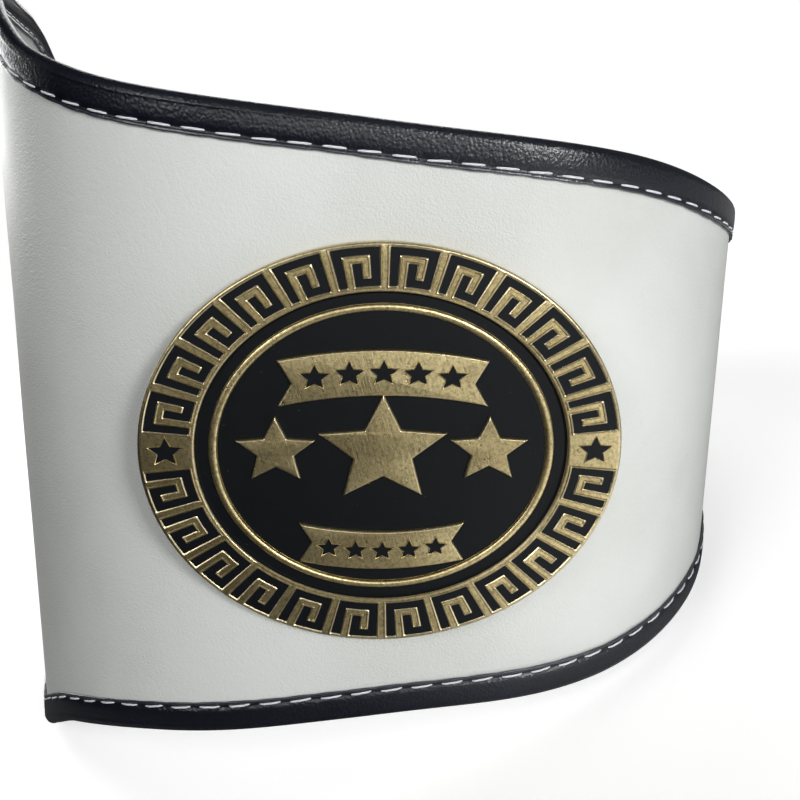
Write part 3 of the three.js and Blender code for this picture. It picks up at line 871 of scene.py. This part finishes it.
def ribbonCorners(ribbon):
    # A band between two parabolas with a notch cut into each end
    half = ribbon["width"] / 2
    x = np.linspace(-half, half, 21)
    lift = ribbon["up"] + ribbon["arch"] * (1 - 2 * (x / half) ** 2)
    lower = np.stack([x, lift - ribbon["height"] / 2], axis=1)
    upper = np.stack([x, lift + ribbon["height"] / 2], axis=1)[::-1]
    notch = half - ribbon["notch"]
    return np.concatenate([lower, [(notch, lift[-1])], upper, [(-notch, lift[-1])]])


def oval(points):
    return np.asarray(points) * (1, plateOval, 1)


def plateRelief():
    low = plateShape["base"]
    band = low + plateShape["bandRise"]
    top = low + plateShape["figureRise"]
    # Raised figures: a steep side, an edge painted a paler bronze (worn metal and painted highlight)
    # and a flat top
    raised = [(-0.12, low - 0.2, 0.0), (0.0, low + 0.02, 0.0), (0.1, top - 0.35, 0.1),
              (0.16, top - 0.28, 0.6), (0.38, top - 0.03, 0.6), (0.46, top, 0.2), (0.54, top + 0.01, 0.0)]
    never = len(raised)
    big, small = plateShape["bigStar"], plateShape["smallStar"]
    for side, radius in ((0, big), (-1, small), (1, small)):
        corners = starCorners(radius, side * plateShape["smallStarAside"])
        ring, *rest = reliefPart(corners, raised, never)
        addPlatePart(platePlace(oval(ring)), *rest)
    for ribbon in plateShape["ribbons"]:
        ring, *rest = reliefPart(ribbonCorners(ribbon), raised, never, divisions=0)
        addPlatePart(platePlace(oval(ring)), *rest)
    filled, blackFrom = plateShape["filled"], plateShape["blackFrom"]
    shareIn, shareUp = plateShape["onRibbon"]
    onRibbon = [(inset * shareIn, height * shareUp + top, rub) for inset, height, rub in filled]
    onBand = [(inset, height + band, rub) for inset, height, rub in filled]
    sideMark = [(inset, height - top + band, rub) for inset, height, rub in onRibbon]
    count = plateShape["ribbonStars"]
    for ribbon in plateShape["ribbons"]:
        share = ribbon["width"] / plateShape["ribbons"][0]["width"]
        x = (np.arange(count) - (count - 1) / 2) * plateShape["ribbonStarPitch"] * share
        y = ribbon["up"] + ribbon["arch"] * (1 - 2 * (2 * x / ribbon["width"]) ** 2)
        for place in zip(x, y):
            corners = starCorners(plateShape["ribbonStar"] * share, *place)
            ring, *rest = reliefPart(corners, onRibbon, blackFrom, 0.12, 2)
            addPlatePart(platePlace(oval(ring)), *rest)
    # Keys are drawn flat and then bent round the band, with a star at each side
    bandMiddle = plateShape["halfWidth"] * (1 + plateShape["bandInside"]) / 2
    cell = plateShape["keyHeight"] / 5
    ring, *rest = reliefPart((np.array(plateShape["keyGrid"]) - 2.5) * cell, onBand, blackFrom, 0.3, 8)
    spread = math.radians(plateShape["keySpread"])
    for flip in (1, -1):
        for aside in np.linspace(spread, -spread, plateShape["keysInArc"]):
            radius = bandMiddle + flip * ring[..., 1]
            turn = flip * math.pi / 2 + aside - flip * ring[..., 0] / bandMiddle
            bent = np.stack([radius * np.cos(turn), radius * np.sin(turn), ring[..., 2]], axis=-1)
            addPlatePart(platePlace(oval(bent)), *rest)
    for side in (-1, 1):
        corners = starCorners(plateShape["markRadius"], side * bandMiddle)
        ring, *rest = reliefPart(corners, sideMark, blackFrom, 0.15, 2)
        addPlatePart(platePlace(oval(ring)), *rest)


plateBase()
plateRelief()
medallion = makePiece("castPlate", np.concatenate(plateParts["points"]), plateParts["faces"],
                      ["bronze", "enamel"], ["medallion"], sharp=38)
medallion.data.polygons.foreach_set("material_index", np.array(plateParts["look"], dtype=np.int32))
# the rub layer marks where the bronze is painted paler: worn metal and painted highlight
rubAndGlintLayer = medallion.data.attributes.new("rubAndGlint", "FLOAT", "POINT")
rubAndGlintLayer.data.foreach_set("value", np.concatenate(plateParts["rubAndGlint"]))
print("cast plate made,", len(plateParts["faces"]), "faces")

# Rivet heads inside the strap and press studs through the overlap
fastener = {
    "sides": 40,
    "rivetRadius": 2.0,
    "rivetHead": 5.5,
    "rivetHeadThickness": 1.4,
    "rivetDepth": 1.3,
    "rivetAside": 26.0,
    "rivetUp": 30.0,
    "capRadius": 6.2,
    "capThickness": 2.2,
    "postRadius": 2.2,
    "cupShare": 0.6,         # the back cup's height as a share of the cap's
    "cup": ((0.5, 1, 0), (0.72, 1, 0.06), (0.84, 0.6, 0), (0.9, 0, -0.1), (0.88, 0, 0)),
    "pitch": 46.0,
    "height": 44.0,
    "gap": 0.3,
}


def turnedPiece(name, profile, axes, origin, node):
    # Radius and height rows turned about their axis, closed at both ends and carried to their place
    profile = np.array(profile)
    grid = latheGrid(profile[1:-1], fastener["sides"])
    sides, rows = fastener["sides"], len(profile) - 2
    points = np.concatenate([grid.reshape(-1, 3), [(0, 0, profile[0, 1]), (0, 0, profile[-1, 1])]])
    ring = np.arange(sides)
    faces = gridFaces(rows, sides, False, True).tolist()
    faces += np.stack([(ring + 1) % sides, ring, np.full(sides, rows * sides)], axis=1).tolist()
    last = (rows - 1) * sides
    end = np.full(sides, rows * sides + 1)
    faces += np.stack([ring + last, (ring + 1) % sides + last, end], axis=1).tolist()
    makePiece(name, points @ axes + origin, faces, ["nickel"], [node], sharp=35)


def dome(radius, start, rise, steps):
    # Quarter of an ellipse from the rim up to the top
    turn = np.linspace(0, math.pi / 2, steps)
    return [(radius * math.cos(t), start + rise * math.sin(t)) for t in turn]


def rivetProfile():
    # Domed head inside the strap, then a shank that ends inside the plate's back
    f = fastener
    _, behind, _ = planAt(np.array(f["rivetAside"] + f["rivetHead"]))
    head = -float(behind) - strap["wall"] - f["gap"]
    tip = strap["plateGap"] + f["rivetDepth"] - f["gap"]
    swell = dome(f["rivetHead"], 0.5, f["rivetHeadThickness"] - 0.5, 8)
    profile = [(r, head - h) for r, h in reversed(swell)]
    profile += [(f["rivetHead"], head - 0.15), (f["rivetHead"] - 0.15, head), (f["rivetRadius"], head),
                (f["rivetRadius"], tip - 0.2), (f["rivetRadius"] - 0.2, tip), (0, tip)]
    return profile


def studProfile():
    # Flared back cup inside, post through both layers, and a domed cap outside
    f = fastener
    outer, inner = f["gap"], -strap["lapStep"] - strap["wall"] - f["gap"]
    base = f["cupShare"] * f["capThickness"]
    profile = [(0, inner - base)]
    profile += [(f["capRadius"] * share, inner - base * deep + lift) for share, deep, lift in f["cup"]]
    profile += [(f["postRadius"], inner), (f["postRadius"], outer), (f["capRadius"] - 0.2, outer),
                (f["capRadius"], outer + 0.2), (f["capRadius"], outer + 0.55)]
    profile += dome(f["capRadius"] - 0.03, outer + 0.6, f["capThickness"] - 0.6, 10)
    return profile


rivetAxes = np.array([(1, 0, 0), (0, 0, 1), (0, -1, 0)], dtype=float)
for n, (side, level) in enumerate(((-1, 1), (1, 1), (-1, -1), (1, -1)), 1):
    origin = np.array([side * fastener["rivetAside"], 0, level * fastener["rivetUp"] - strap["plateDrop"]])
    turnedPiece(f"plateRivet{n}", rivetProfile(), rivetAxes, origin, f"medallion_rivet_{n}")
    along = strap["halfLength"] - strap["overlap"] / 2 + side * fastener["pitch"] / 2
    x, y, turn = (float(v) for v in planAt(np.array(along - strap["plateFromMiddle"])))
    outward = np.array([math.sin(turn), -math.cos(turn), 0])
    axes = np.stack([np.cross([0, 0, 1], outward), [0, 0, 1], outward])
    origin = np.array([x, y, level * fastener["height"] / 2])
    turnedPiece(f"pressStud{n}", studProfile(), axes, origin, f"press_stud_{n}")
print("rivets and studs made")

# Studio: pale floor, soft light from the upper right, a dimmer room in front and to the left
studio = {
    "floorSize": 60.0,
    "floor": (232, 232, 232),
    "floorGlow": 0.5,        # lifts the floor to the white of the backdrop
    "nearRadius": 0.22,      # contact shadows show inside this radius and fade to the next
    "farRadius": 0.9,
    "sky": 0.155,
    "dim": 0.012,
    "brightSide": (0.9, -0.15, 0.3),
    "skyReach": (-0.25, 0.8),
    # painted shade: the floor as the belt sees it is dark at its left and paler to its right
    "bounce": (0.01, 0.7),   # how pale the floor is to the belt, from its left to its right
    "bounceReach": (-0.06, 0.14),
    # painted shade: the floor as the belt sees it is darker close to the belt
    "nearBounce": 0.15,      # and how pale it is close to the belt
    "nearReach": (0.2, 0.36),
    "card": (0.11, -0.26, 0.0),     # a glowing patch in front, seen only by the belt
    "cardReach": 0.16,
    "cardGlow": 1.6,
    "target": (0, 40, 0),    # millimetres in the belt's frame, where every lamp points
    "lights": (
        {"name": "window", "place": (0.54, -1.0, 0.36), "size": 0.26, "power": 5.4},
        {"name": "front", "place": (0.0, -1.0, 0.42), "size": 0.35, "power": 0.9},
        {"name": "side", "place": (-0.5, -0.9, 0.8), "size": 0.5, "power": 3.7},
        {"name": "back", "place": (0.25, 1.3, 0.8), "size": 0.9, "power": 10.0},
        {"name": "backLeft", "place": (-0.75, 0.8, 0.55), "size": 0.6, "power": 9.0},
    ),
}


def floorLook():
    # Soft white that shades near the belt and glows to plain white further out
    shade = newShade("floor")
    place = shade.place()
    grain = shade.noise(place, 60, 2, 0.5)
    away = shade.node("ShaderNodeVectorMath", {"operation": "LENGTH"}, {0: place}, "Value")
    matt = shade.node("ShaderNodeBsdfPrincipled", {}, {
        "Base Color": colour(*studio["floor"]), "Roughness": 0.75 + grain * 0.1,
        "Emission Color": (1, 1, 1, 1), "Emission Strength": studio["floorGlow"]})
    white = shade.node("ShaderNodeEmission", {}, {"Color": (1, 1, 1, 1), "Strength": 1.0})
    aside = shade.node("ShaderNodeSeparateXYZ", {}, {0: place}, "X")
    # To everything but the camera the floor is painted shade, dark to the left and close to the belt, and the
    # glowing card is painted light
    pale = shade.mix(aside.ramp(*studio["bounceReach"]), *[(v, v, v, 1) for v in studio["bounce"]])
    near = (studio["nearBounce"],) * 3 + (1,)
    pale = shade.mix(away.ramp(*studio["nearReach"]), near, pale)
    dark = shade.node("ShaderNodeBsdfDiffuse", {}, {"Color": pale})
    apart = shade.node("ShaderNodeVectorMath", {"operation": "DISTANCE"},
                       {0: place, 1: studio["card"]}, "Value")
    glow = shade.node("ShaderNodeEmission", {}, {"Color": (1, 1, 1, 1), "Strength": studio["cardGlow"]})
    onCard = 1 - apart.ramp(0, studio["cardReach"])
    dark = shade.node("ShaderNodeMixShader", {}, {0: onCard, 1: dark, 2: glow})
    path = shade.node("ShaderNodeLightPath", {}, {}, "Is Camera Ray")
    far = away.ramp(studio["nearRadius"], studio["farRadius"])
    seen = shade.node("ShaderNodeMixShader", {}, {0: far, 1: matt, 2: white})
    surface = shade.node("ShaderNodeMixShader", {}, {0: path, 1: dark, 2: seen})
    shade.node("ShaderNodeOutputMaterial", {}, {"Surface": surface})
    return shade.owner


def makeStudio():
    half = studio["floorSize"] / 2
    mesh = bpy.data.meshes.new("floor")
    corners = [(-half, -half, 0), (half, -half, 0), (half, half, 0), (-half, half, 0)]
    mesh.from_pydata(corners, [], [(0, 1, 2, 3)])
    mesh.materials.append(floorLook())
    floor = bpy.data.objects.new("floor", mesh)
    bpy.context.scene.collection.objects.link(floor)
    target = toFrame(np.array(studio["target"]))
    for light in studio["lights"]:
        data = bpy.data.lights.new(light["name"], "AREA")
        data.size = light["size"]
        data.energy = light["power"]
        lamp = bpy.data.objects.new(light["name"], data)
        spot = np.array(light["place"])
        away = (spot - target) / np.linalg.norm(spot - target)
        right = np.cross([0, 0, 1], away)
        right /= np.linalg.norm(right)
        where = Matrix.Identity(4)
        for column, vector in enumerate((right, np.cross(away, right), away, spot)):
            where[0][column], where[1][column], where[2][column] = vector
        lamp.matrix_world = where
        bpy.context.scene.collection.objects.link(lamp)


def makeSky():
    # The backdrop itself is white; the light it gives is dimmer in front and to the left
    world = bpy.data.worlds.new("studioSky")
    bpy.context.scene.world = world
    shade = Shade(world)
    way = shade.node("ShaderNodeTexCoord", {}, {}, "Generated")
    lean = shade.node("ShaderNodeVectorMath", {"operation": "DOT_PRODUCT"},
                      {0: way, 1: studio["brightSide"]}, "Value")
    path = shade.node("ShaderNodeLightPath", {}, {}, "Is Camera Ray")
    levels = (studio["dim"], studio["sky"], 1.0)
    dim, bright, white = (shade.node("ShaderNodeBackground", {}, {"Color": (1, 1, 1, 1), "Strength": v})
                          for v in levels)
    given = shade.node("ShaderNodeMixShader", {}, {0: lean.ramp(*studio["skyReach"]), 1: dim, 2: bright})
    seen = shade.node("ShaderNodeMixShader", {}, {0: path, 1: given, 2: white})
    shade.node("ShaderNodeOutputWorld", {}, {"Surface": seen})


makeStudio()
makeSky()
bpy.context.scene.view_settings.view_transform = "Standard"
print("studio made")
